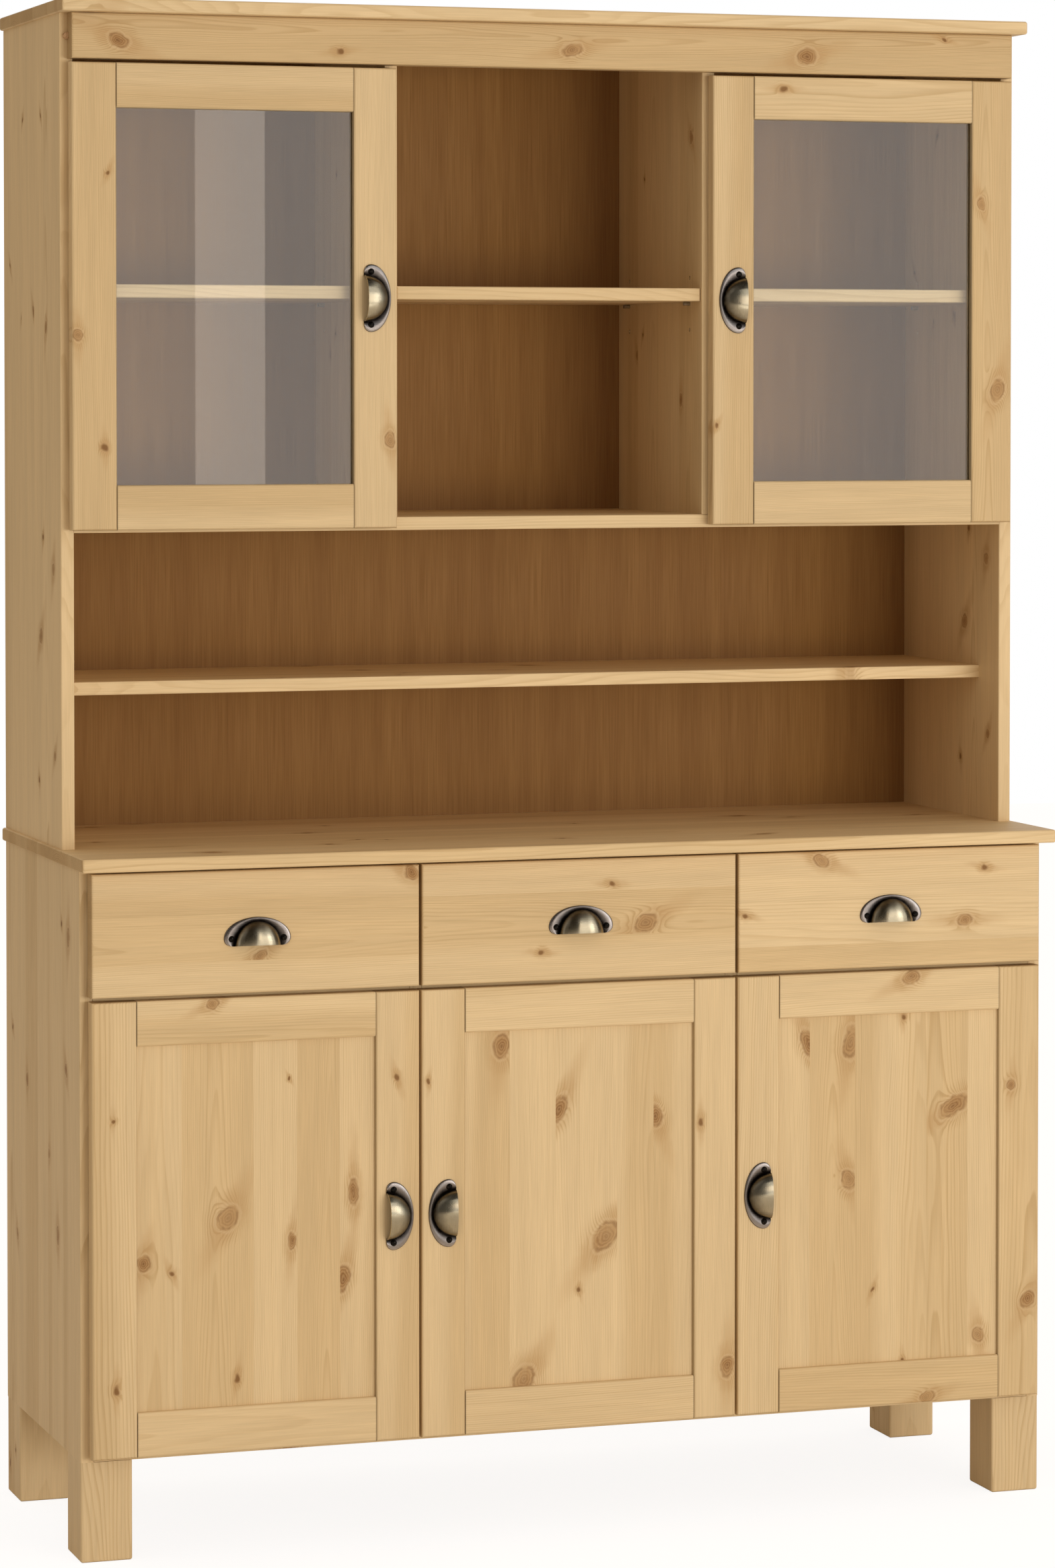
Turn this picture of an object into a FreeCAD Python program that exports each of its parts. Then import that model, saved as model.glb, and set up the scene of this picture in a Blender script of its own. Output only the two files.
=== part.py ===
import FreeCAD, Part
import math
import os
from FreeCAD import Vector

# Welsh dresser of glued pine boards: a base cupboard with three drawers and three framed doors,
# and a shallower hutch with two glazed doors, an open bay and a plate shelf.
# Millimetres, +X right, +Y to the back, +Z up, origin under the middle of the whole outline.

# Carcass boards
board = 16.0
carcass_width = 1220.0
base_depth = 400.0
base_side_height = 694.0
hutch_depth = 310.0
hutch_side_height = 986.0
front_edge_round = 1.5
back_thickness = 4.0
rebate_width = 8.0
back_panel_play = 1.0
bay_count = 3

# Worktop and top board
worktop_thickness = 16.0
worktop_side_overhang = 5.0
worktop_front_overhang = 18.0
top_thickness = 16.0
top_side_overhang = 5.0
top_front_overhang = 15.0
slab_round = 3.0

# Legs
leg_height = 118.0
leg_width = 62.0
leg_depth = 70.0
leg_round = 3.0

# Fronts that lie over the carcass edges
front_thickness = 19.0
front_gap = 2.5
door_gap = 3.0
front_round = 3.0
hinge_edge_round = 2.0

# Heights in the base
door_rise = 6.0
drawer_top_gap = 3.5
drawer_front_height = 144.5
drawer_door_gap = 5.0
cross_rail_depth = 60.0
base_shelf_drop = 9.5
base_shelf_setback = 30.0

# Heights in the hutch
bay_width = 391.0
plate_shelf_rise = 178.0
plate_shelf_setback = 62.0
floor_rise = 374.0
floor_lip = 3.5
divider_overlay = 9.3
frieze_height = 54.0
frieze_gap = 4.0
hutch_shelf_lift = 7.25
hutch_shelf_setback = 4.0
shelf_end_gap = 0.5
shelf_round = 2.0

# Framed doors
stile_width = 54.0
rail_width = 53.0
groove_depth = 8.0
panel_play = 1.0
panel_thickness = 8.0
panel_recess = 6.0
glass_thickness = 4.0
glass_recess = 8.0

# Concealed hinges: the pin stands inside the door, in a round cup let in from the back
pin_edge = 8.0
pin_face = 7.5
pin_radius = 1.25
pin_seat_clearance = 0.02
pin_end_clearance = 0.1
knuckle_clearance = 0.05
knuckle_radius = 2.4
knuckle_height = 10.0
cup_radius = 17.5
cup_edge = 4.0
cup_wall = 0.8
cup_lip = 1.0
cup_floor_clearance = 0.3
cup_ear_width = 11.0
cup_ear_span = 60.0
cup_screw_spacing = 48.0
hinge_inset = 80.0
arm_offset = 14.0
arm_thickness = 4.0
arm_bar_lead = 0.6
arm_reach = 52.0
arm_body_height = 13.0
arm_start = 3.0
plate_thickness = 2.0
plate_length = 36.0
plate_height = 44.0
plate_screw_spacing = 32.0

# Small hinge screws
hinge_screw_radius = 1.75
hinge_screw_length = 10.0
hinge_screw_head_radius = 3.2
hinge_screw_head_height = 1.0

# Cup pulls: a domed shell open on one side, on a flat rim with two screws
pull_height = 34.0
pull_rim_thickness = 2.0
pull_ear_radius = 8.5
pull_screw_spacing = 64.0
pull_screw_rise = 9.0
pull_projection = 17.0
pull_edge_gap = 8.0
pull_dome_rise = 3.0
pull_dome_gap = 1.5
pull_wall = 1.8
pull_screw_radius = 2.0
pull_screw_length = 14.0
pull_screw_head_radius = 4.0
pull_screw_head_height = 2.4
pull_screw_slot_width = 0.9
pull_screw_slot_length = 3.8
pull_screw_slot_depth = 1.3

# Drawers
drawer_side_thickness = 12.0
drawer_side_gap = 3.0
drawer_back_gap = 45.0
drawer_box_drop = 32.5
drawer_box_lift = 12.0
drawer_bottom_thickness = 4.0
drawer_bottom_rise = 8.0
drawer_bottom_groove = 5.0
runner_height = 14.0
runner_back_gap = 50.0
runner_engagement = 6.0
runner_clearance = 0.3
runner_start = 2.0

# Dowels and shelf pins
dowel_radius = 4.0
dowel_in_edge = 20.0
dowel_in_face = 7.0
dowel_inset = 60.0
hutch_dowel_inset = 40.0
leg_dowel_offset = 15.0
shelf_pin_radius = 2.5
shelf_pin_wall = 2.0
shelf_pin_reach = 8.0
shelf_pin_inset = 40.0
spare_hole_step = 32.0
fit_clearance = 0.05
bore_end_clearance = 0.3

# Directions
right = Vector(1, 0, 0)
back = Vector(0, 1, 0)
up = Vector(0, 0, 1)

# Depth planes: the worktop or the drawer pulls reach furthest to the front, the board backs to the rear
fronts_depth = front_gap + front_thickness
total_depth = base_depth + fronts_depth + max(pull_projection, worktop_front_overhang)
y_back = total_depth / 2
y_panel = y_back - back_thickness
y_base = y_back - base_depth
y_hutch = y_back - hutch_depth
y_base_fronts = y_base - fronts_depth
y_hutch_fronts = y_hutch - fronts_depth

# Heights
z_base = leg_height
z_bottom_top = z_base + board
z_worktop = z_base + base_side_height
z_worktop_top = z_worktop + worktop_thickness
z_drawer_top = z_worktop - drawer_top_gap
z_drawer_bottom = z_drawer_top - drawer_front_height
z_door_top = z_drawer_bottom - drawer_door_gap
z_door_bottom = z_base + door_rise
z_base_shelf = (z_door_bottom + z_door_top - board) / 2 - base_shelf_drop
z_floor = z_worktop_top + floor_rise
z_floor_top = z_floor + board
z_top = z_worktop_top + hutch_side_height
z_frieze = z_top - frieze_height
z_upper_door_top = z_frieze - frieze_gap
z_upper_door_bottom = z_floor + floor_lip
z_plate_shelf = z_worktop_top + plate_shelf_rise
z_hutch_shelf = (z_upper_door_bottom + z_upper_door_top - board) / 2 + hutch_shelf_lift

# Widths
x_outer = carcass_width / 2
x_inner = x_outer - board
overlay = (board - door_gap) / 2
bay_clear = (carcass_width - (bay_count + 1) * board) / bay_count
x_front = x_inner + overlay
bay_starts = [-x_inner + i * (bay_clear + board) for i in range(bay_count)]
base_bays = [(start, start + bay_clear) for start in bay_starts]
x_divider = bay_width / 2
hutch_bays = [(-x_inner, -x_divider - board), (-x_divider, x_divider), (x_divider + board, x_inner)]
x_glazed = x_divider + board - divider_overlay
front_spans = [(start - overlay, stop + overlay) for start, stop in base_bays]

# Hinge pin seen from the door: distance to the back face, and the cup that holds it
pin_back = front_thickness - pin_face
cup_depth = pin_back + knuckle_radius + cup_floor_clearance + cup_wall
cup_offset = cup_edge + cup_radius - pin_edge

# Cup pull: the rim ends in two ears, and the ball of the dome passes clear of the screw heads
pull_half_width = pull_screw_spacing / 2 + pull_ear_radius
dome_half_width = pull_screw_spacing / 2 - pull_screw_head_radius - pull_dome_gap
dome_slant = dome_half_width ** 2 + pull_rim_thickness ** 2 + (pull_screw_rise - pull_dome_rise) ** 2
pull_dome_sink = (dome_slant - pull_projection ** 2) / (2 * (pull_projection - pull_rim_thickness))
pull_dome_radius = pull_projection + pull_dome_sink

# Depth of the shelf pins, with some wood left between two that meet in one board
shelf_pin_in_board = (board - shelf_pin_wall) / 2

nodes = {}
bores = []
dowels = []
shelf_pins = []


def block(x0, x1, y0, y1, z0, z1):
    low = Vector(min(x0, x1), min(y0, y1), min(z0, z1))
    return Part.makeBox(abs(x1 - x0), abs(y1 - y0), abs(z1 - z0), low)


def rod(radius, start, axis, length):
    return Part.makeCylinder(radius, length, start, axis)


def edges_on(shape, axis, value):
    # edges whose two ends both lie on the plane where one coordinate has this value
    return [edge for edge in shape.Edges
            if all(abs(vertex.Point[axis] - value) < 1e-6 for vertex in edge.Vertexes)]


def long_edges(shape, axis, value):
    # of the edges on that plane, those over half as long as the longest
    edges = edges_on(shape, axis, value)
    longest = max(edge.Length for edge in edges)
    return [edge for edge in edges if edge.Length > longest / 2]


def shared(first, second):
    return [edge for edge in first if any(edge.isSame(other) for other in second)]


def rounded(shape, radius, edges):
    return shape.makeFillet(radius, edges)


def bored(shape):
    # cuts every prepared hole that reaches into this piece
    reach = shape.BoundBox
    near = [hole for hole in bores if reach.intersect(hole.BoundBox)]
    return shape.cut(near) if near else shape


def keep(name, *solids):
    pieces = []
    for solid in solids:
        pieces.extend(solid.Solids)
    nodes[name] = Part.makeCompound(pieces)


def hole(radius, start, axis, length):
    bores.append(rod(radius + fit_clearance, start, axis, length + bore_end_clearance))


def dowel(seam, axis):
    # axis points from the board that is met at its edge into the board that is met at its face
    start = seam - axis * dowel_in_edge
    length = dowel_in_edge + dowel_in_face
    dowels.append(rod(dowel_radius, start, axis, length))
    clear_start = start - axis * bore_end_clearance
    bores.append(rod(dowel_radius + fit_clearance, clear_start, axis, length + 2 * bore_end_clearance))


def dowel_pair(x, z, axis, y_first, y_last):
    for y in (y_first, y_last):
        dowel(Vector(x, y, z), axis)


# Dowels of the base: uprights into the worktop, partitions on the bottom, bottom into the sides
partition_centres = [start - board / 2 for start in bay_starts[1:]]
side_centre = x_outer - board / 2
y_dowel_front = y_base + dowel_inset
y_dowel_back = y_panel - dowel_inset
for x in [-side_centre] + partition_centres + [side_centre]:
    dowel_pair(x, z_worktop, up, y_dowel_front, y_dowel_back)
for x in partition_centres:
    dowel_pair(x, z_bottom_top, -up, y_dowel_front, y_dowel_back)
y_bottom_front = y_base + leg_depth + dowel_inset
y_bottom_back = y_panel - leg_depth - dowel_inset
for side in (-1, 1):
    dowel_pair(side * x_inner, z_base + board / 2, right * side, y_bottom_front, y_bottom_back)

# Dowels of the cross rails, set apart in depth where two rails meet one partition
z_cross_rail = z_door_top + drawer_door_gap / 2 - board / 2
for start, stop in base_bays:
    dowel(Vector(start, y_base + cross_rail_depth / 4, z_cross_rail + board / 2), -right)
    dowel(Vector(stop, y_base + cross_rail_depth * 3 / 4, z_cross_rail + board / 2), right)

# Dowels of the legs
leg_centres_x = [-x_outer + leg_width / 2, x_outer - leg_width / 2]
leg_centres_y = [y_base + leg_depth / 2, y_back - leg_depth / 2]
for x in leg_centres_x:
    for y in leg_centres_y:
        dowel_pair(x, z_base, up, y - leg_dowel_offset, y + leg_dowel_offset)

# Dowels of the hutch
y_hutch_dowel = y_hutch + dowel_inset
y_plate_shelf = y_hutch + plate_shelf_setback
y_shelf_dowel = y_plate_shelf + hutch_dowel_inset
z_frieze_middle = z_frieze + frieze_height / 2
for side in (-1, 1):
    x = side * side_centre
    dowel_pair(x, z_worktop_top, -up, y_hutch + hutch_dowel_inset, y_back - hutch_dowel_inset)
    dowel_pair(x, z_top, up, y_hutch_dowel, y_dowel_back)
    dowel_pair(side * x_inner, z_floor + board / 2, right * side, y_hutch_dowel, y_dowel_back)
    dowel_pair(side * x_inner, z_plate_shelf + board / 2, right * side, y_shelf_dowel, y_dowel_back)
    dowel(Vector(x, y_hutch, z_frieze_middle), -back)
    x = side * (x_divider + board / 2)
    dowel_pair(x, z_top, up, y_hutch_dowel, y_dowel_back)
    dowel_pair(x, z_floor_top, -up, y_hutch_dowel, y_dowel_back)
    dowel(Vector(x, y_hutch, z_frieze_middle), -back)


def shelf_supports(bay, z_under, y_front, spare_holes):
    # four pins under a loose shelf, with spare holes above and below where they are drilled
    for x, outward in ((bay[0], -right), (bay[1], right)):
        for y in (y_front + shelf_pin_inset, y_panel - shelf_pin_inset):
            centre = Vector(x, y, z_under - shelf_pin_radius)
            start = centre - outward * shelf_pin_reach
            shelf_pins.append(rod(shelf_pin_radius, start, outward, shelf_pin_reach + shelf_pin_in_board))
            for step in range(-spare_holes, spare_holes + 1):
                hole(shelf_pin_radius, centre + up * spare_hole_step * step, outward, shelf_pin_in_board)


def loose_shelf(bay, z_under, y_front):
    shelf = block(bay[0] + shelf_end_gap, bay[1] - shelf_end_gap, y_front, y_panel - shelf_end_gap,
                  z_under, z_under + board)
    return rounded(shelf, shelf_round, edges_on(shelf, 1, y_front))


y_base_shelf = y_base + base_shelf_setback
y_hutch_shelf = y_hutch + hutch_shelf_setback
for bay in base_bays:
    shelf_supports(bay, z_base_shelf, y_base_shelf, 0)
for bay in hutch_bays:
    shelf_supports(bay, z_hutch_shelf, y_hutch_shelf, 1)
keep("base_shelves", *[loose_shelf(bay, z_base_shelf, y_base_shelf) for bay in base_bays])
keep("hutch_shelves", *[loose_shelf(bay, z_hutch_shelf, y_hutch_shelf) for bay in hutch_bays])

# Doors: hinge is -1 for a door hung on its left edge and 1 for one hung on its right edge
doors = [
    {"name": "lower_left", "span": front_spans[0], "hinge": -1, "low": True, "glazed": False},
    {"name": "lower_middle", "span": front_spans[1], "hinge": 1, "low": True, "glazed": False},
    {"name": "lower_right", "span": front_spans[2], "hinge": 1, "low": True, "glazed": False},
    {"name": "upper_left", "span": (-x_front, -x_glazed), "hinge": -1, "low": False, "glazed": True},
    {"name": "upper_right", "span": (x_glazed, x_front), "hinge": 1, "low": False, "glazed": True},
]
for door in doors:
    door["y"] = y_base_fronts if door["low"] else y_hutch_fronts
    door["z"] = (z_door_bottom, z_door_top) if door["low"] else (z_upper_door_bottom, z_upper_door_top)
    door["hinge_x"] = door["span"][0] if door["hinge"] < 0 else door["span"][1]
    door["inward"] = -door["hinge"]
    door["pins"] = [Vector(door["hinge_x"] + door["inward"] * pin_edge, door["y"] + pin_face, z)
                    for z in (door["z"][0] + hinge_inset, door["z"][1] - hinge_inset)]


def hinge_screw(start, axis):
    # axis points out of the wood
    shank = rod(hinge_screw_radius, start - axis * hinge_screw_length, axis, hinge_screw_length)
    head = rod(hinge_screw_head_radius, start, axis, hinge_screw_head_height)
    return shank.fuse(head)


def hinge_cup(door, pin):
    # round cup with a thin lip and two ears on the back of the door, and the pin across it
    y_face = pin.y + pin_back
    inward = door["inward"]
    centre = Vector(pin.x + inward * cup_offset, y_face, pin.z)
    cup = rod(cup_radius, centre - back * cup_depth, back, cup_depth)
    lip = rod(cup_radius + cup_lip, centre, back, cup_lip)
    ears = block(centre.x, centre.x + inward * cup_ear_width, y_face, y_face + cup_lip,
                 pin.z - cup_ear_span / 2, pin.z + cup_ear_span / 2)
    hollow = rod(cup_radius - cup_wall, centre - back * (cup_depth - cup_wall), back, cup_depth + cup_lip)
    half_pin = math.sqrt(cup_radius ** 2 - (cup_offset + pin_radius) ** 2) - pin_end_clearance
    pin_start = pin - up * half_pin
    seat = rod(pin_radius + pin_seat_clearance, pin_start, up, 2 * half_pin)
    pieces = [rod(pin_radius, pin_start, up, 2 * half_pin)]
    shell = cup.fuse([lip, ears]).cut(hollow).cut(seat)
    for step in (-1, 1):
        foot = Vector(centre.x + inward * cup_ear_width / 2, y_face, pin.z + step * cup_screw_spacing / 2)
        shell = shell.cut(rod(hinge_screw_radius + fit_clearance, foot, back, cup_lip))
        hole(hinge_screw_radius, foot, -back, hinge_screw_length)
        pieces.append(hinge_screw(foot + back * cup_lip, back))
    bores.append(rod(cup_radius + fit_clearance, centre - back * (cup_depth + fit_clearance), back,
                     cup_depth + fit_clearance))
    return [shell] + pieces


def hinge_arm(door, pin, y_carcass):
    # cranked arm: a body on the mounting plate, a neck past the door's back and a bar to the knuckle
    inward = door["inward"]
    half = knuckle_height / 2
    near = pin.x + inward * arm_offset
    far = near + inward * arm_thickness
    plate_face = pin.x + inward * (overlay - pin_edge + plate_thickness)
    y_bar = pin.y - knuckle_radius
    knuckle = rod(knuckle_radius, pin - up * half, up, knuckle_height)
    bar = block(pin.x, far, y_bar, pin.y + arm_bar_lead, pin.z - half, pin.z + half)
    neck = block(near, far, y_bar, y_carcass + arm_start, pin.z - half, pin.z + half)
    body = block(plate_face, far, y_carcass + arm_start, y_carcass + arm_reach,
                 pin.z - arm_body_height / 2, pin.z + arm_body_height / 2)
    bore = rod(pin_radius + knuckle_clearance, pin - up * half, up, knuckle_height)
    return knuckle.fuse([bar, neck, body]).cut(bore)


def hinge_plate(door, pin, y_carcass):
    inward = door["inward"]
    board_face = pin.x + inward * (overlay - pin_edge)
    plate_face = board_face + inward * plate_thickness
    y_start = y_carcass + arm_start
    plate = block(board_face, plate_face, y_start, y_start + plate_length,
                  pin.z - plate_height / 2, pin.z + plate_height / 2)
    outward = right * -inward
    pieces = []
    for step in (-1, 1):
        foot = Vector(board_face, y_start + plate_length / 2, pin.z + step * plate_screw_spacing / 2)
        hole(hinge_screw_radius, foot, outward, hinge_screw_length)
        plate = plate.cut(rod(hinge_screw_radius + fit_clearance, foot, -outward, plate_thickness))
        pieces.append(hinge_screw(foot - outward * plate_thickness, -outward))
    return [plate] + pieces


hinge_arms = []
hinge_plates = []
for door in doors:
    y_carcass = y_base if door["low"] else y_hutch
    cups = []
    for pin in door["pins"]:
        cups.extend(hinge_cup(door, pin))
        hinge_arms.append(hinge_arm(door, pin, y_carcass))
        hinge_plates.extend(hinge_plate(door, pin, y_carcass))
    keep(door["name"] + "_hinge_cups", *cups)
keep("hinge_arms", *hinge_arms)
keep("hinge_plates", *hinge_plates)


def cup_pull():
    # lies on the plane y = 0 with its open side down and its dome towards -Y
    out = -back
    arch = Part.Ellipse(Vector(0, 0, 0), pull_half_width, pull_height - pull_screw_rise)
    crown = Part.ArcOfEllipse(arch, 0, math.pi).toShape()
    chord = Part.LineSegment(right * -pull_half_width, right * pull_half_width).toShape()
    plate = Part.Face(Part.Wire([crown, chord])).extrude(up * pull_rim_thickness)
    plate.rotate(Vector(0, 0, 0), right, 90)
    plate.translate(up * pull_screw_rise)
    screw_feet = [Vector(side * pull_screw_spacing / 2, 0, pull_screw_rise) for side in (-1, 1)]
    ears = [rod(pull_ear_radius, foot, out, pull_rim_thickness) for foot in screw_feet]
    centre = Vector(0, pull_dome_sink, pull_dome_rise)
    span = 2 * (pull_half_width + pull_height)
    room = block(-span, span, -span, 0, 0, span)
    dome = Part.makeSphere(pull_dome_radius, centre).common(room)
    hollow = Part.makeSphere(pull_dome_radius - pull_wall, centre)
    pull = plate.fuse(ears + [dome]).cut(hollow)
    for foot in screw_feet:
        pull = pull.cut(rod(pull_screw_radius + fit_clearance, foot, out, pull_rim_thickness))
    return pull.removeSplitter()


def pull_screw(foot):
    # round head with a cross recess, driven along +Y
    out = -back
    seat = foot + out * pull_rim_thickness
    ball = (pull_screw_head_radius ** 2 + pull_screw_head_height ** 2) / (2 * pull_screw_head_height)
    ball_centre = seat + out * (pull_screw_head_height - ball)
    width = 2 * pull_screw_head_radius
    room = block(seat.x - width, seat.x + width, seat.y, seat.y - width, seat.z - width, seat.z + width)
    head = Part.makeSphere(ball, ball_centre).common(room)
    screw_point = foot + back * pull_screw_length
    screw = head.fuse(rod(pull_screw_radius, screw_point, out, pull_screw_length + pull_rim_thickness))
    y_crown = seat.y - pull_screw_head_height
    long, short = pull_screw_slot_length / 2, pull_screw_slot_width / 2
    for across, high in ((long, short), (short, long)):
        screw = screw.cut(block(seat.x - across, seat.x + across, y_crown, y_crown + pull_screw_slot_depth,
                                seat.z - high, seat.z + high))
    return screw


master_pull = cup_pull()


def keep_pull(name, x, y, z, turn):
    # turn 0 has the open side down; 90 points the rim to the right and -90 to the left
    pull = master_pull.copy()
    pull.rotate(Vector(0, 0, 0), back, turn)
    pull.translate(Vector(x, y, z))
    keep(name + "_pull", pull)
    turned = FreeCAD.Rotation(back, turn)
    screws = []
    for side in (-1, 1):
        offset = turned.multVec(Vector(side * pull_screw_spacing / 2, 0, pull_screw_rise))
        foot = Vector(x, y, z) + offset
        hole(pull_screw_radius, foot, back, pull_screw_length)
        screws.append(pull_screw(foot))
    keep(name + "_pull_screws", *screws)


def door_frame(door):
    # two full-height stiles and two rails between them; stub tenons fill the stile grooves
    x0, x1 = door["span"]
    z0, z1 = door["z"]
    y0 = door["y"]
    y1 = y0 + front_thickness
    thick = glass_thickness if door["glazed"] else panel_thickness
    y_groove = y0 + (glass_recess if door["glazed"] else panel_recess)
    pieces = []
    for outer, inward in ((x0, 1), (x1, -1)):
        inner = outer + inward * stile_width
        stile = block(outer, inner, y0, y1, z0, z1)
        stile = rounded(stile, front_round, edges_on(stile, 1, y0))
        stile = rounded(stile, hinge_edge_round, shared(edges_on(stile, 1, y1), edges_on(stile, 0, outer)))
        groove = block(inner, inner - inward * groove_depth, y_groove, y_groove + thick, z0, z1)
        pieces.append(bored(stile.cut(groove)))
    for outer, inward in ((z0, 1), (z1, -1)):
        inner = outer + inward * rail_width
        rail = block(x0 + stile_width, x1 - stile_width, y0, y1, outer, inner)
        rail = rounded(rail, front_round, long_edges(rail, 1, y0))
        tenon = block(x0 + stile_width - groove_depth, x1 - stile_width + groove_depth,
                      y_groove, y_groove + thick, outer, inner)
        groove = block(x0, x1, y_groove, y_groove + thick, inner, inner - inward * groove_depth)
        pieces.append(rail.fuse(tenon).cut(groove))
    inset_x = stile_width - groove_depth + panel_play
    inset_z = rail_width - groove_depth + panel_play
    panel = block(x0 + inset_x, x1 - inset_x, y_groove, y_groove + thick, z0 + inset_z, z1 - inset_z)
    keep(door["name"] + "_door_frame", *pieces)
    keep(door["name"] + ("_door_glass" if door["glazed"] else "_door_panel"), panel)


for door in doors:
    free_edge = door["span"][0] if door["hinge"] > 0 else door["span"][1]
    # the pull stands upright on the stile beside the free edge, its rim towards that edge
    x_pull = free_edge + door["hinge"] * (pull_edge_gap + pull_height)
    keep_pull(door["name"] + "_door", x_pull, door["y"], sum(door["z"]) / 2, -90 * door["hinge"])
    door_frame(door)


def drawer(name, span, bay):
    # front board, two grooved sides and a back, and a thin bottom let into the sides
    x0, x1 = span
    y0 = y_base_fronts
    y1 = y0 + front_thickness
    front = block(x0, x1, y0, y1, z_drawer_bottom, z_drawer_top)
    front = rounded(front, front_round, edges_on(front, 1, y0))
    keep_pull(name + "_drawer", (x0 + x1) / 2, y0, (z_drawer_bottom + z_drawer_top - pull_height) / 2, 0)
    keep(name + "_drawer_front", bored(front))
    z0 = z_drawer_bottom + drawer_box_lift
    z1 = z_drawer_top - drawer_box_drop
    y_end = y_panel - drawer_back_gap
    y_track = y_base + runner_start
    z_runner = (z0 + z1 - runner_height) / 2
    z_plate = z0 + drawer_bottom_rise
    groove_clear = runner_engagement + runner_clearance
    pieces = []
    for wall, inward in ((bay[0], 1), (bay[1], -1)):
        outer = wall + inward * drawer_side_gap
        inner = outer + inward * drawer_side_thickness
        plank = block(outer, inner, y1, y_end, z0, z1)
        track = block(outer, outer + inward * groove_clear, y_track - runner_clearance, y_end,
                      z_runner - runner_clearance, z_runner + runner_height + runner_clearance)
        seat = block(inner, inner - inward * drawer_bottom_groove, y1, y_end,
                     z_plate, z_plate + drawer_bottom_thickness)
        pieces.append(plank.cut([track, seat]))
        runners.append(block(wall, outer + inward * runner_engagement, y_track, y_panel - runner_back_gap,
                             z_runner, z_runner + runner_height))
    inset = drawer_side_gap + drawer_side_thickness
    pieces.append(block(bay[0] + inset, bay[1] - inset, y_end - drawer_side_thickness, y_end,
                        z_plate + drawer_bottom_thickness, z1))
    keep(name + "_drawer_box", *pieces)
    reach = inset - drawer_bottom_groove
    keep(name + "_drawer_bottom", block(bay[0] + reach, bay[1] - reach, y1, y_end,
                                        z_plate, z_plate + drawer_bottom_thickness))


runners = []
for name, span, bay in zip(("left", "middle", "right"), front_spans, base_bays):
    drawer(name, span, bay)
keep("drawer_runners", *runners)


def side_board(side, y_front, z0, z1):
    # upright board with eased front edges and a rebate for the back panel
    plank = block(side * x_inner, side * x_outer, y_front, y_back, z0, z1)
    plank = rounded(plank, front_edge_round, long_edges(plank, 1, y_front))
    rebate = block(side * x_inner, side * (x_inner + rebate_width), y_panel, y_back, z0, z1)
    return bored(plank.cut(rebate))


def cross_board(x0, x1, y_front, z0, thickness):
    # level or upright board that ends at the back panel, with an eased front edge
    plank = block(x0, x1, y_front, y_panel, z0, z0 + thickness)
    return bored(rounded(plank, front_edge_round, long_edges(plank, 1, y_front)))


def slab(side_overhang, y_front, z0, thickness):
    # worktop and top board, eased all round
    x_end = x_outer + side_overhang
    plank = block(-x_end, x_end, y_front, y_back, z0, z0 + thickness)
    return bored(rounded(plank, slab_round, plank.Edges))


y_worktop = y_base_fronts - worktop_front_overhang
y_top = y_hutch_fronts - top_front_overhang
keep("base_worktop", slab(worktop_side_overhang, y_worktop, z_worktop, worktop_thickness))
keep("hutch_top", slab(top_side_overhang, y_top, z_top, top_thickness))
keep("base_sides", *[side_board(side, y_base, z_base, z_worktop) for side in (-1, 1)])
keep("hutch_sides", *[side_board(side, y_hutch, z_worktop_top, z_top) for side in (-1, 1)])
keep("base_bottom", cross_board(-x_inner, x_inner, y_base, z_base, board))
partition_height = z_worktop - z_bottom_top
keep("base_partitions", *[cross_board(x - board / 2, x + board / 2, y_base, z_bottom_top, partition_height)
                          for x in partition_centres])
keep("hutch_floor", cross_board(-x_inner, x_inner, y_hutch, z_floor, board))
keep("hutch_plate_shelf", cross_board(-x_inner, x_inner, y_plate_shelf, z_plate_shelf, board))
divider_height = z_top - z_floor_top
keep("hutch_dividers", *[cross_board(x, x + board, y_hutch, z_floor_top, divider_height)
                         for x in (-x_divider - board, x_divider)])
keep("base_cross_rails", *[bored(block(start, stop, y_base, y_base + cross_rail_depth,
                                       z_cross_rail, z_cross_rail + board)) for start, stop in base_bays])

frieze = block(-x_front, x_front, y_hutch_fronts, y_hutch, z_frieze, z_top)
frieze = rounded(frieze, front_round, edges_on(frieze, 1, y_hutch_fronts))
keep("hutch_frieze", bored(frieze))

panel_edge = x_inner + rebate_width - back_panel_play
keep("back_panels",
     block(-panel_edge, panel_edge, y_panel, y_back, z_base, z_worktop),
     block(-panel_edge, panel_edge, y_panel, y_back, z_worktop_top, z_top))

legs = []
for x in leg_centres_x:
    for y in leg_centres_y:
        corner = Vector(x - leg_width / 2, y - leg_depth / 2, 0)
        post = Part.makeBox(leg_width, leg_depth, leg_height, corner)
        top_edges = edges_on(post, 2, leg_height)
        eased = [edge for edge in post.Edges if not any(edge.isSame(other) for other in top_edges)]
        legs.append(bored(rounded(post, leg_round, eased)))
keep("legs", *legs)
keep("dowels", *dowels)
keep("shelf_pins", *shelf_pins)

os.makedirs("parts", exist_ok=True)
for name, shape in nodes.items():
    shape.exportStep(os.path.join("parts", name + ".step"))
print(len(nodes), "nodes,", sum(len(shape.Solids) for shape in nodes.values()), "solids")
print("depth", total_depth, "height", z_top + top_thickness)
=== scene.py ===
import math

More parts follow.
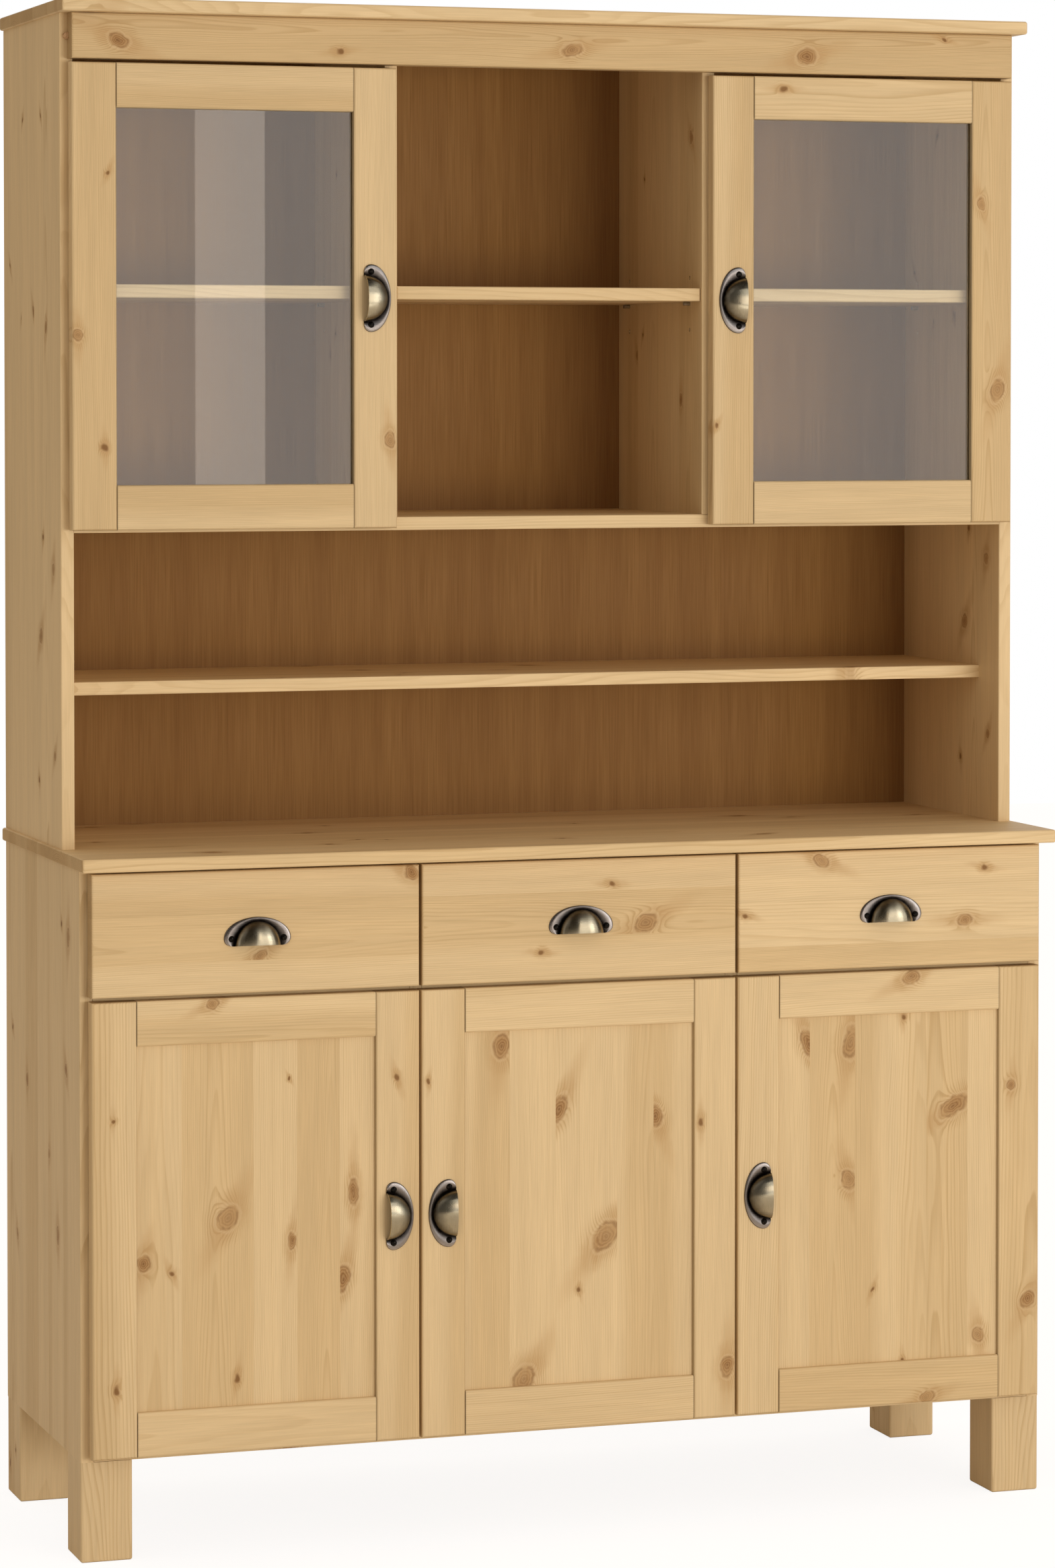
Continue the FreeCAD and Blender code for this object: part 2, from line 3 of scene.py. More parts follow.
import bmesh
import bpy
import numpy as np
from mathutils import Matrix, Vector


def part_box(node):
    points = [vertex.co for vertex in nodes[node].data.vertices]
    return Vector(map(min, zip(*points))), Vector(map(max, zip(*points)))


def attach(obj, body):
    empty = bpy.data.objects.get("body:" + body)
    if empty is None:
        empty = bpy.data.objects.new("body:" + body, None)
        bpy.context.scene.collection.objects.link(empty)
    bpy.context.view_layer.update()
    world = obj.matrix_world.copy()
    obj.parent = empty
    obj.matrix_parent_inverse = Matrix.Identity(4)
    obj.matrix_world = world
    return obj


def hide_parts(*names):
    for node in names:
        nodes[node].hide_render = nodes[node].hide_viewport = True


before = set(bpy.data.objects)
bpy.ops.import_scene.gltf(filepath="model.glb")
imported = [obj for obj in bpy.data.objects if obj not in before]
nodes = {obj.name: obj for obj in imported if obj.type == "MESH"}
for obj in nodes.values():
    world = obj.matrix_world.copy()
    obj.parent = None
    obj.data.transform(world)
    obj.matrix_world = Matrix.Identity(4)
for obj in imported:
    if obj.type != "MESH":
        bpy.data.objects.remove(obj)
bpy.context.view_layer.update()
print("frame loaded:", len(nodes), "nodes")

millimetre = 0.001
endless = math.inf  # a patch of this size doesn't vary in that direction
whole, noiseSpan, wideSpan = (0.0, 1.0), (0.3, 0.7), (0.25, 0.75)  # most of a noise lies in the last two

# node kinds, and settings that many nodes share
mathNode = "ShaderNodeMath"
vectorNode = "ShaderNodeVectorMath"
rangeNode = "ShaderNodeMapRange"
noiseNode = "ShaderNodeTexNoise"
mixNode = "ShaderNodeMix"
asColour = dict(data_type="RGBA", out=2)
asVector = dict(data_type="VECTOR", out=1)
smooth = dict(interpolation_type="SMOOTHSTEP")


def linear(code):  # a hex sRGB colour as the linear one that a socket takes
    parts = [int(code[i:i + 2], 16) / 255 for i in (1, 3, 5)]
    return tuple(c / 12.92 if c <= 0.04045 else ((c + 0.055) / 1.055) ** 2.4 for c in parts) + (1.0,)


def feed(node, feeds):  # links each input of a node to a socket, or sets its value
    for key, source in feeds.items():
        if isinstance(source, bpy.types.NodeSocket):
            node.id_data.links.new(source, node.inputs[key])
        else:
            node.inputs[key].default_value = source


def put(tree, kind, feeds=None, out=0, **settings):  # adds a node with its settings and links
    made = tree.nodes.new(kind)
    for name, value in settings.items():
        setattr(made, name, value)
    feed(made, feeds or {})
    return made.outputs[out]


def patches(tree, place, size, out=0, **feeds):  # soft noise: the place over a patch's size in mm
    scaled = put(tree, vectorNode, {0: place, 1: tuple(1 / s for s in size)}, operation="MULTIPLY")
    return put(tree, noiseNode, {"Vector": scaled, "Scale": 1.0, **feeds}, out=out)


def ramp(span, ends):  # numbers for a range node: this span of the value goes to these two ends
    return {1: span[0], 2: span[1], 3: ends[0], 4: ends[1]}


def apart(tree, value, other):  # the difference of two values without its sign
    gap = put(tree, mathNode, {0: value, 1: other}, operation="SUBTRACT")
    return put(tree, mathNode, {0: gap}, operation="ABSOLUTE")


def placeMm(tree):  # where on the part a point lies, in millimetres
    coords = put(tree, "ShaderNodeTexCoord", out="Object")
    return put(tree, vectorNode, {0: coords, "Scale": 1 / millimetre}, operation="SCALE")


def startMaterial(name):  # a new material, its tree, and its surface shader
    made = bpy.data.materials.new(name)
    made.use_nodes = True
    return made, made.node_tree, made.node_tree.nodes["Principled BSDF"]


def wear(node, material):  # a CAD node's own object takes the material in every slot
    for place in nodes[node].material_slots:
        place.material = material


# camera: where the photograph was taken from, solved from the dresser's corners
cameraSetup = dict(spot=(-1.882, -5.6795, 1.372), turn=0.3199, dip=0.0308, lens=111.2, lift=-0.1567,
                   sensor=36, farthest=60)
view = bpy.data.cameras.new("camera")
view.lens = cameraSetup["lens"]
view.sensor_width = cameraSetup["sensor"]
view.shift_y = cameraSetup["lift"]
view.clip_end = cameraSetup["farthest"]
eye = bpy.data.objects.new("camera", view)
eye.location = cameraSetup["spot"]
eye.rotation_euler = (math.pi / 2 - cameraSetup["dip"], 0, -cameraSetup["turn"])
bpy.context.collection.objects.link(eye)
bpy.context.scene.camera = eye
bpy.context.scene.view_settings.view_transform = "Standard"

# light: a white room, a big soft lamp at the front right, and three small ones that panes and pulls mirror
roomLight = dict(fill=0.60, warmth="#FFEFDC", paper="#FFFFFF")
lamps = [
    dict(name="soft_key", spot=(2.0, -6.8, 0.9), aim=(0.0, 0.0, 0.7), wide=2.6, tall=1.6, watts=140.0,
         mirrored=False),
    dict(name="pane_board", spot=(2.1, -6.0, 1.6), aim=(0.0, -0.1, 1.5), wide=2.8, tall=1.7, watts=13.0,
         mirrored=True, tint="#FFECD9"),
    dict(name="pull_glint", spot=(4.1, -5.4, 1.6), aim=(0.0, 0.0, 1.0), wide=1.6, tall=2.6, watts=26.0,
         mirrored=True),
    dict(name="pane_strip", spot=(0.36, -3.0, 1.55), aim=(0.36, 0.0, 1.55), wide=0.13, tall=1.3, watts=0.8,
         mirrored=True, tint="#FFECD9"),
]
world = bpy.data.worlds.new("room")
bpy.context.scene.world = world
world.use_nodes = True
tree = world.node_tree
path = put(tree, "ShaderNodeLightPath").node.outputs
seen = put(tree, mathNode, {0: path["Is Camera Ray"], 1: path["Is Glossy Ray"]}, operation="MAXIMUM")
seen = put(tree, mathNode, {0: seen, 1: path["Is Transmission Ray"]}, operation="MAXIMUM")
level = put(tree, rangeNode, {0: seen, 3: roomLight["fill"], 4: 1.0})  # white where seen, dimmer as light
tints = {6: linear(roomLight["warmth"]), 7: linear(roomLight["paper"])}
hue = put(tree, mixNode, {0: seen, **tints}, **asColour)
feed(tree.nodes["Background"], {"Color": hue, "Strength": level})
for lamp in lamps:
    light = bpy.data.lights.new(lamp["name"], "AREA")
    light.shape = "RECTANGLE"
    light.size, light.size_y, light.energy = lamp["wide"], lamp["tall"], lamp["watts"]
    light.color = linear(lamp.get("tint", roomLight["paper"]))[:3]
    holder = bpy.data.objects.new(lamp["name"], light)
    holder.location = lamp["spot"]
    reach = np.array(lamp["aim"]) - np.array(lamp["spot"])
    holder.rotation_euler = (math.atan2(math.hypot(reach[0], reach[1]), -reach[2]), 0,
                             math.atan2(-reach[0], reach[1]))
    # the big lamp would flood the panes
    holder.visible_glossy = holder.visible_transmission = lamp["mirrored"]
    bpy.context.collection.objects.link(holder)

# floor: white paper that keeps the soft shadow; a little glow lifts its open part to the room's white
floorLook = dict(half=9.0, paper="#F4F3F1", roughness=0.9, glow=0.72, glowStrength=1.2)
corner = floorLook["half"]
sheet = bpy.data.meshes.new("floor")
sheet.from_pydata([(-corner, -corner, 0), (corner, -corner, 0), (corner, corner, 0), (-corner, corner, 0)],
                  [], [(0, 1, 2, 3)])
floor = bpy.data.objects.new("floor", sheet)
bpy.context.collection.objects.link(floor)
paper, tree, shader = startMaterial("white_paper")
feed(shader, {"Base Color": linear(floorLook["paper"]), "Roughness": floorLook["roughness"],
              "Specular IOR Level": 0.0})
seen = put(tree, "ShaderNodeLightPath", out="Is Camera Ray")
glow = put(tree, mathNode, {0: seen, 1: floorLook["glow"]}, operation="MULTIPLY")
white = put(tree, "ShaderNodeEmission", {"Strength": floorLook["glowStrength"]})
surface = put(tree, "ShaderNodeMixShader", {0: glow, 1: shader.outputs[0], 2: white})
feed(tree.nodes["Material Output"], {"Surface": surface})
sheet.materials.append(paper)

# black cloth round the set, seen only in reflections: it gives the pulls their dark bands and keeps the
# sides deep; a sweep is in degrees from the front
clothLook = dict(black="#1B1A19", roughness=1.0)
flags = [
    dict(name="flag_left", sweep=(-72, 6), away=9.0, low=0.0, high=6.0),
    dict(name="flag_right", sweep=(60, 100), away=8.0, low=0.0, high=6.0),
    dict(name="flag_behind", sweep=(-176, -108), away=8.0, low=0.0, high=6.0),
]
overhead = dict(name="flag_overhead", wide=4.0, front=-7.0, back=1.5, high=5.6)
cloth, tree, shader = startMaterial("black_cloth")
feed(shader, {"Base Color": linear(clothLook["black"]), "Roughness": clothLook["roughness"]})
sheets = {overhead["name"]: [(side * overhead["wide"], deep, overhead["high"]) for side, deep in (
    (-1, overhead["front"]), (1, overhead["front"]), (1, overhead["back"]), (-1, overhead["back"]))]}
for flag in flags:
    ends = [(flag["away"] * math.sin(math.radians(a)), -flag["away"] * math.cos(math.radians(a)))
            for a in flag["sweep"]]
    sheets[flag["name"]] = [(*ends[0], flag["low"]), (*ends[1], flag["low"]),
                            (*ends[1], flag["high"]), (*ends[0], flag["high"])]
for name, corners in sheets.items():
    mesh = bpy.data.meshes.new(name)
    mesh.from_pydata(corners, [], [(0, 1, 2, 3)])
    mesh.materials.append(cloth)
    screen = bpy.data.objects.new(name, mesh)
    screen.visible_camera = screen.visible_diffuse = False
    screen.visible_transmission = screen.visible_shadow = False
    bpy.context.collection.objects.link(screen)
print("stage ready")

# knotty pine, planed and clear lacquered: yellow-brown early wood with thin darker late-wood lines that run
# along each glued strip, bend round red-brown knots and close into rings on the sawn ends
pineLook = dict(
    sap="#E1C79B", heart="#D8BC8E", lateTint=(0.82, 0.765, 0.68), endTint=(0.70, 0.64, 0.56),
    paleStrip=(1.02, 1.02, 1.018), deepStrip=(0.978, 0.97, 0.958),
    stripMm=(52, 88), lastStripMm=25, mostCuts=28,               # the glued strips
    heartInside=0.3, heartNearMm=(-30, 30), heartFarMm=(45, 120),  # from a strip to the heart of its stem
    heartReachMm=160.0, heartDepthMm=55.0, shiftMm=900.0,
    heartwoodMm=(35.0, 105.0), heartwoodBlendMm=(-11.0, 11.0),   # heartwood reaches this far from the heart
    ringMm=(1.5, 2.9), taper=0.012, stripMix=(17.3, 41.7, 29.9),
    wanderMm=(-8.0, 8.0), slowMm=(620, 130, 130), quiverMm=(-0.9, 0.9), quickMm=(170, 18, 18),
    lateSpan=(0.4, 0.92), yearShare=(0.3, 1.0), stripShare=(0.5, 1.0),
    fibreMm=(55, 1.3, 1.3), fibreShade=(0.945, 1.045), driftMm=(320, 24, 24), driftShade=(0.95, 1.04),
    jointMm=(0.3, 1.1), jointShade=(0.6, 1.0), endSpan=(0.55, 0.9),
    roughness=(0.60, 0.47), endRoughness=0.25, specular=0.3, bump=0.22, bumpMm=0.4, lateHeight=0.7)
axisOf = dict(x=0, y=1, z=2)

# knots: distances are in radii of the knot where they aren't in millimetres
knotLook = dict(
    body="#AC8352", heart="#8F663B", bark="#7A5430", pin="#80592F", halo="#BF9A69", rimLight="#EAD5AF",
    pinMm=4.6, everyMm2=34000.0, scatterMm=(2.5, 8.5), slant=(-30, 30), stretch=(1.15, 1.6),
    stripKey=0.0004, farAway=1000.0, swell=1.9, swellPower=1.6, tail=(0.3, 1.1, 1.0),
    warpMm=(14, 14, endless), warpByMm=(9.0, 6.0, 0.0), roughMm=(6, 4, endless), roughBy=(-0.09, 0.09),
    varyMm=(60, 60, endless), mottleMm=(3, 1.6, endless), patchyMm=(11, 8, endless),
    ringPace=24.0, ringMix=0.3, paleAt=1.2, barkAt=0.92, haloStain=0.3, haloLate=(1.0, 4.2),
    # spans of a distance or a noise, and what each gives at its two ends
    haloRamp=((0.8, 2.8), (1.0, 0.0)), stainRamp=((0.5, 1.9), (0.5, 0.0)),
    fibreRamp=((0.35, 0.65), (0.55, 1.2)), coreRamp=((0.05, 0.5), (0.5, 0.0)),
    bodyRamp=((0.4, 1.25), (0.95, 0.0)), lineRamp=((-1.0, 1.0), (0.76, 1.08)),
    varyRamp=((0.36, 0.6), (0.5, 1.0)), mottleRamp=((0.3, 0.7), (0.2, 0.8)),
    paleRamp=((0.03, 0.2), (0.16, 0.0)), barkRamp=((0.02, 0.18), (0.42, 0.0)),
    patchyRamp=((0.36, 0.58), (0.0, 1.0)), plugRamp=((0.35, 1.05), (0.9, 0.0)))


def stripCuts(low, high, draw):  # chance glue lines: one strip's width after the other up to the far edge
    cuts = []
    place = low + draw.uniform(*pineLook["stripMm"])
    while place < high - pineLook["lastStripMm"] and len(cuts) < pineLook["mostCuts"]:
        cuts.append(place)
        place += draw.uniform(*pineLook["stripMm"])
    return cuts


def stripTones(tree, across, edges, draw):
    # one flat colour for each glued strip: red places its heart, green and blue are its own numbers
    look, low, high, owns = pineLook, edges[0], edges[-1], []
    reach = look["heartReachMm"]
    table = put(tree, rangeNode, {0: across, **ramp((low, high), whole)})
    table = put(tree, "ShaderNodeValToRGB", {0: table})
    stops = table.node.color_ramp
    stops.interpolation = "CONSTANT"
    stops.elements.remove(stops.elements[1])
    for i, (first, last) in enumerate(zip(edges, edges[1:])):
        stop = stops.elements[0] if i == 0 else stops.elements.new((first - low) / (high - low))
        if draw.uniform() < look["heartInside"]:
            aside = draw.uniform(*look["heartNearMm"])
        else:
            aside = draw.choice((-1, 1)) * draw.uniform(*look["heartFarMm"])
        heart = ((first + last) / 2 + aside - low + reach) / (high - low + 2 * reach)
        stop.color = (heart, draw.uniform(), draw.uniform(), 1)
        owns.append(stop.color[2])
    return table, owns


def grainRun(tree, parts, normals, order, box, spec, draw):
    # the board's own directions: along, across and through the grain, measured from each strip's heart
    main = order == spec["grain"]
    reach, depth = pineLook["heartReachMm"], pineLook["heartDepthMm"]
    along, across, through = (parts[axisOf[a]] for a in order)
    low, high = (c[axisOf[order[1]]] for c in box)
    first, last = (c[axisOf[order[2]]] for c in box)
    through = put(tree, mathNode, {0: through, 1: (first + last) / 2}, operation="SUBTRACT")
    if main and "pair" in spec:  # two boards face each other: both are measured from their middle
        inset = (last - first - spec["pair"]) / 2
        through = put(tree, mathNode, {0: through}, operation="ABSOLUTE")
        through = put(tree, mathNode, {0: through, 1: inset}, operation="SUBTRACT")
    cuts = spec.get("cuts") if main else None
    if cuts is None:
        cuts = stripCuts(low, high, draw)
    if not main:
        cuts = spec["cross"].get("cuts", cuts)
    edges = [low, *cuts, high]
    table, owns = stripTones(tree, across, edges, draw)
    tones = put(tree, "ShaderNodeSeparateColor", {0: table}).node.outputs
    room = high - low + 2 * reach
    heart = put(tree, mathNode, {0: tones[0], 1: room, 2: low - reach}, operation="MULTIPLY_ADD")
    deep = put(tree, mathNode, {0: tones[1], 1: 2 * depth, 2: -depth}, operation="MULTIPLY_ADD")
    shifted = put(tree, mathNode, {0: tones[2], 1: pineLook["shiftMm"], 2: along}, operation="MULTIPLY_ADD")
    fromHeart = put(tree, mathNode, {0: across, 1: heart}, operation="SUBTRACT")
    fromDepth = put(tree, mathNode, {0: through, 1: deep}, operation="SUBTRACT")
    local = put(tree, "ShaderNodeCombineXYZ", {0: shifted, 1: fromHeart, 2: fromDepth})
    face = put(tree, "ShaderNodeCombineXYZ", {0: along, 1: across, 2: tones[2]})
    return local, face, normals[axisOf[order[0]]], (edges, owns)


def scatterKnots(spec, box, draw):  # chance knots, spread evenly over the board's face
    a, b = (axisOf[k] for k in spec["grain"][:2])
    span = box[1] - box[0]
    count = spec.get("more", max(2, int(span[a] * span[b] / knotLook["everyMm2"])))
    return [(box[0][a] + span[a] * draw.uniform(), box[0][b] + span[b] * draw.uniform(),
             draw.uniform(*knotLook["scatterMm"])) for i in range(count)]


def knotField(tree, face, knots, runs, draw):
    # distance to the nearest knot, distance to the stain that trails from it along the grain, and the push on
    # the rings: each knot's radius over (1 + distance squared) to a power, added up
    look = knotLook
    warp = patches(tree, face, look["warpMm"], out="Color", Detail=1.0)
    warp = put(tree, vectorNode, {0: warp, 1: (0.5, 0.5, 0.5)}, operation="SUBTRACT")
    flat = put(tree, vectorNode, {0: warp, 1: look["warpByMm"], 2: face}, operation="MULTIPLY_ADD")
    near, trail, swell = dict(knot=look["farAway"], pin=look["farAway"]), look["farAway"], 0.0
    for along, across, radius, *lie in knots:
        slant, stretch = lie or (draw.uniform(*look["slant"]), draw.uniform(*look["stretch"]))
        edges, owns = next((run for run in runs if run[0][0] <= across <= run[0][-1]), runs[0])
        own = owns[min(len(owns) - 1, max(0, int(np.searchsorted(edges, across)) - 1))]
        # the third direction is the strip's own number, so a knot ends where its strip is glued to the next
        off = put(tree, "ShaderNodeMapping", {
            "Vector": flat, "Location": (along, across, own), "Rotation": (0.0, 0.0, math.radians(slant)),
            "Scale": (radius * stretch, radius, look["stripKey"])}, vector_type="TEXTURE")
        far = put(tree, vectorNode, {0: off}, out=1, operation="LENGTH")
        push = put(tree, mathNode, {0: far, 1: far, 2: 1.0}, operation="MULTIPLY_ADD")
        push = put(tree, mathNode, {0: push, 1: -look["swellPower"]}, operation="POWER")
        amount = look["swell"] * radius * draw.choice((-1, 1))
        swell = put(tree, mathNode, {0: push, 1: amount, 2: swell}, operation="MULTIPLY_ADD")
        kind = "knot" if radius > look["pinMm"] else "pin"
        near[kind] = put(tree, mathNode, {0: near[kind], 1: far}, operation="MINIMUM")
        tail = put(tree, vectorNode, {0: off, 1: look["tail"]}, operation="MULTIPLY")
        tail = put(tree, vectorNode, {0: tail}, out=1, operation="LENGTH")
        trail = put(tree, mathNode, {0: trail, 1: tail}, operation="MINIMUM")
    return near, trail, swell


def growthRings(tree, local, tone, swell):
    # ring number: distance from the heart, with a slow wander, a quick quiver, the stem's taper and the push
    # of the knots, over the strip's ring width; in each ring the late wood darkens slowly and ends at once
    look = pineLook
    wander = patches(tree, local, look["slowMm"], Detail=2.0)
    wander = put(tree, rangeNode, {0: wander, **ramp(wideSpan, look["wanderMm"])})
    quiver = patches(tree, local, look["quickMm"], Detail=1.0)
    quiver = put(tree, rangeNode, {0: quiver, **ramp(wideSpan, look["quiverMm"])})
    ways = put(tree, "ShaderNodeSeparateXYZ", {0: local}).node.outputs
    side = put(tree, mathNode, {0: ways[1], 1: wander}, operation="ADD")
    flat = put(tree, "ShaderNodeCombineXYZ", {1: side, 2: ways[2]})
    radius = put(tree, vectorNode, {0: flat}, out=1, operation="LENGTH")
    radius = put(tree, mathNode, {0: ways[0], 1: look["taper"], 2: radius}, operation="MULTIPLY_ADD")
    radius = put(tree, mathNode, {0: radius, 1: quiver}, operation="ADD")
    radius = put(tree, mathNode, {0: radius, 1: swell}, operation="ADD")
    own = [put(tree, mathNode, {0: tone, 1: k}, operation="MULTIPLY") for k in look["stripMix"]]
    own = [put(tree, mathNode, {0: k}, operation="FRACT") for k in own]  # three more numbers for each strip
    width = put(tree, rangeNode, {0: own[0], **ramp(whole, look["ringMm"])})
    ring = put(tree, mathNode, {0: radius, 1: width}, operation="DIVIDE")
    phase = put(tree, mathNode, {0: ring}, operation="FRACT")
    year = put(tree, mathNode, {0: ring}, operation="FLOOR")
    year = put(tree, "ShaderNodeTexWhiteNoise", {"W": year}, noise_dimensions="1D")
    late = put(tree, rangeNode, {0: phase, **ramp(look["lateSpan"], whole)}, **smooth)
    ended = (look["lateSpan"][1], 1.0)
    for share in (put(tree, rangeNode, {0: phase, **ramp(ended, (1.0, 0.0))}, **smooth),
                  put(tree, rangeNode, {0: year, **ramp(whole, look["yearShare"])}),
                  put(tree, rangeNode, {0: own[1], **ramp(whole, look["stripShare"])})):
        late = put(tree, mathNode, {0: late, 1: share}, operation="MULTIPLY")
    inner = put(tree, rangeNode, {0: own[2], **ramp(whole, look["heartwoodMm"])})
    inner = put(tree, mathNode, {0: inner, 1: radius}, operation="SUBTRACT")
    inner = put(tree, rangeNode, {0: inner, **ramp(look["heartwoodBlendMm"], whole)}, **smooth)
    return late, inner


def paintKnots(tree, colour, face, fibre, near, trail, halo):
    # a grown-in knot has a dark core, ring lines that fade outwards and a broken bark line; a pin knot is a
    # plug; both stain the wood along the grain
    look = knotLook
    stain = put(tree, rangeNode, {0: trail, **ramp(*look["stainRamp"])}, **smooth)
    broken = put(tree, rangeNode, {0: fibre, **ramp(*look["fibreRamp"])})
    stain = put(tree, mathNode, {0: stain, 1: broken}, operation="MULTIPLY")
    stain = put(tree, mathNode, {0: halo, 1: look["haloStain"], 2: stain}, operation="MULTIPLY_ADD",
                use_clamp=True)
    colour = put(tree, mixNode, {0: stain, 6: colour, 7: linear(look["halo"])}, **asColour)

    rough = patches(tree, face, look["roughMm"], Detail=2.0)
    rough = put(tree, rangeNode, {0: rough, **ramp(whole, look["roughBy"])})
    far = put(tree, mathNode, {0: near["knot"], 1: rough}, operation="ADD")
    rings = put(tree, mathNode, {0: far, 1: look["ringPace"]}, operation="MULTIPLY")
    rings = put(tree, mathNode, {0: rings}, operation="SINE")
    mottle = patches(tree, face, look["mottleMm"], Detail=2.0)
    mottle = put(tree, rangeNode, {0: mottle, **ramp(*look["mottleRamp"])})
    blend = put(tree, mathNode, {0: rings, 1: look["ringMix"], 2: mottle}, operation="MULTIPLY_ADD",
                use_clamp=True)
    inner = put(tree, mixNode, {0: blend, 6: linear(look["body"]), 7: linear(look["heart"])}, **asColour)
    core = put(tree, rangeNode, {0: far, **ramp(*look["coreRamp"])}, **smooth)
    inner = put(tree, mixNode, {0: core, 6: inner, 7: linear(look["bark"])}, **asColour)
    pale = apart(tree, far, look["paleAt"])
    pale = put(tree, rangeNode, {0: pale, **ramp(*look["paleRamp"])}, **smooth)
    colour = put(tree, mixNode, {0: pale, 6: colour, 7: linear(look["rimLight"])}, **asColour)

    vary = patches(tree, face, look["varyMm"], Detail=0.0)  # some knots are paler
    body = put(tree, rangeNode, {0: far, **ramp(*look["bodyRamp"])}, **smooth)
    for share in (put(tree, rangeNode, {0: vary, **ramp(*look["varyRamp"])}),
                  put(tree, rangeNode, {0: rings, **ramp(*look["lineRamp"])})):
        body = put(tree, mathNode, {0: body, 1: share}, operation="MULTIPLY")
    colour = put(tree, mixNode, {0: body, 6: colour, 7: inner}, **asColour)
    patchy = patches(tree, face, look["patchyMm"], Detail=1.0)
    patchy = put(tree, rangeNode, {0: patchy, **ramp(*look["patchyRamp"])})
    bark = apart(tree, far, look["barkAt"])
    bark = put(tree, rangeNode, {0: bark, **ramp(*look["barkRamp"])}, **smooth)
    bark = put(tree, mathNode, {0: bark, 1: patchy}, operation="MULTIPLY")
    colour = put(tree, mixNode, {0: bark, 6: colour, 7: linear(look["bark"])}, **asColour)
    plug = put(tree, rangeNode, {0: near["pin"], **ramp(*look["plugRamp"])}, **smooth)
    return put(tree, mixNode, {0: plug, 6: colour, 7: linear(look["pin"])}, **asColour)


